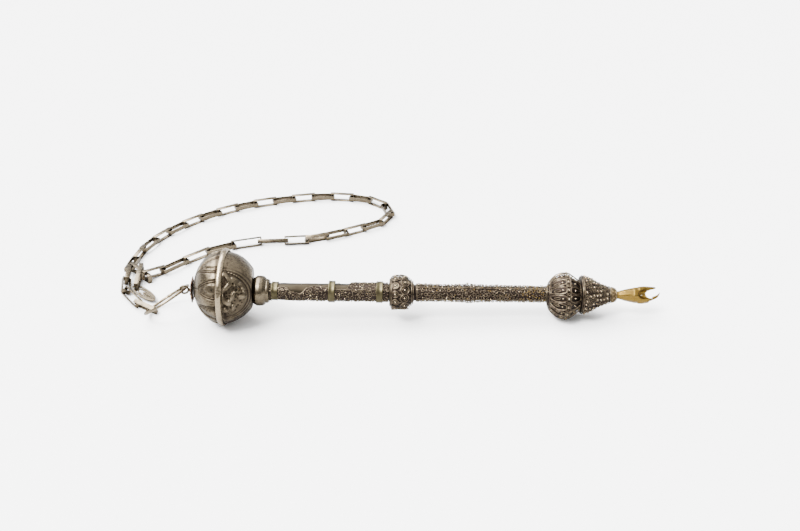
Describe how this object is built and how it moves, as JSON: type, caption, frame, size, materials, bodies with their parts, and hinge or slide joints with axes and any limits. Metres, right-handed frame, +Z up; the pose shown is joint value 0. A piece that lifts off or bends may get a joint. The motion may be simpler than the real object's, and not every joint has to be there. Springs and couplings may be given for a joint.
{
  "type": "torah pointer",
  "caption": "Silver yad lying down: round knob, filigree handle and knops, gilt pointing hand, hanging ring and flat-link chain.",
  "frame": {"origin": "on the table, under the small worn flat where the belt of the round knob rests", "axes": "+X along the pointer from the round knob to the pointing hand, +Y away from the camera towards the chain's loop, +Z up"},
  "size_m": [0.3191, 0.1794, 0.0442],
  "materials": {
    "silver": "worn silver with brown-grey tarnish in the hollows",
    "chain_silver": "worn silver strip, tarnished",
    "filigree_silver": "oxidised silver filigree with bright wire tops",
    "oxidised_silver": "dark brown patina",
    "band_brass": "yellowish worn band",
    "gilt_silver": "worn gilding"
  },
  "bodies": {
    "root": {"knob_outer_dome": "silver", "knob_inner_dome": "silver", "knob_belt": "silver", "rosette": "oxidised_silver", "ring_eye": "silver", "suspension_ring": "silver", "knob_collar": "silver", "handle_tube": "silver", "filigree_sheath_stub": "filigree_silver", "filigree_sheath": "filigree_silver", "band_1": "band_brass", "band_2": "band_brass", "band_3": "band_brass", "middle_knop": "filigree_silver", "upper_shaft": "filigree_silver", "large_knop": "filigree_silver", "bell": "filigree_silver", "bell_crown": "gilt_silver", "pointing_hand": "gilt_silver", "oval_clasp": "silver", "chain_link_01": "chain_silver", "chain_link_02": "chain_silver", "chain_link_03": "chain_silver", "chain_link_04": "chain_silver", "chain_link_05": "chain_silver", "chain_link_06": "chain_silver", "chain_link_07": "chain_silver", "chain_link_08": "chain_silver", "chain_link_09": "chain_silver", "chain_link_10": "chain_silver", "chain_link_11": "chain_silver", "chain_link_12": "chain_silver", "chain_link_13": "chain_silver", "chain_link_14": "chain_silver", "chain_link_15": "chain_silver", "chain_link_16": "chain_silver", "chain_link_17": "chain_silver", "chain_link_18": "chain_silver", "chain_link_19": "chain_silver", "chain_link_20": "chain_silver", "chain_link_21": "chain_silver", "chain_link_22": "chain_silver", "chain_link_23": "chain_silver", "chain_link_24": "chain_silver", "chain_link_25": "chain_silver", "chain_link_26": "chain_silver", "chain_link_27": "chain_silver", "chain_link_28": "chain_silver", "chain_link_29": "chain_silver", "chain_link_30": "chain_silver", "chain_link_31": "chain_silver", "chain_link_32": "chain_silver", "chain_link_33": "chain_silver", "chain_link_34": "chain_silver", "chain_link_35": "chain_silver"}
  },
  "joints": []
}
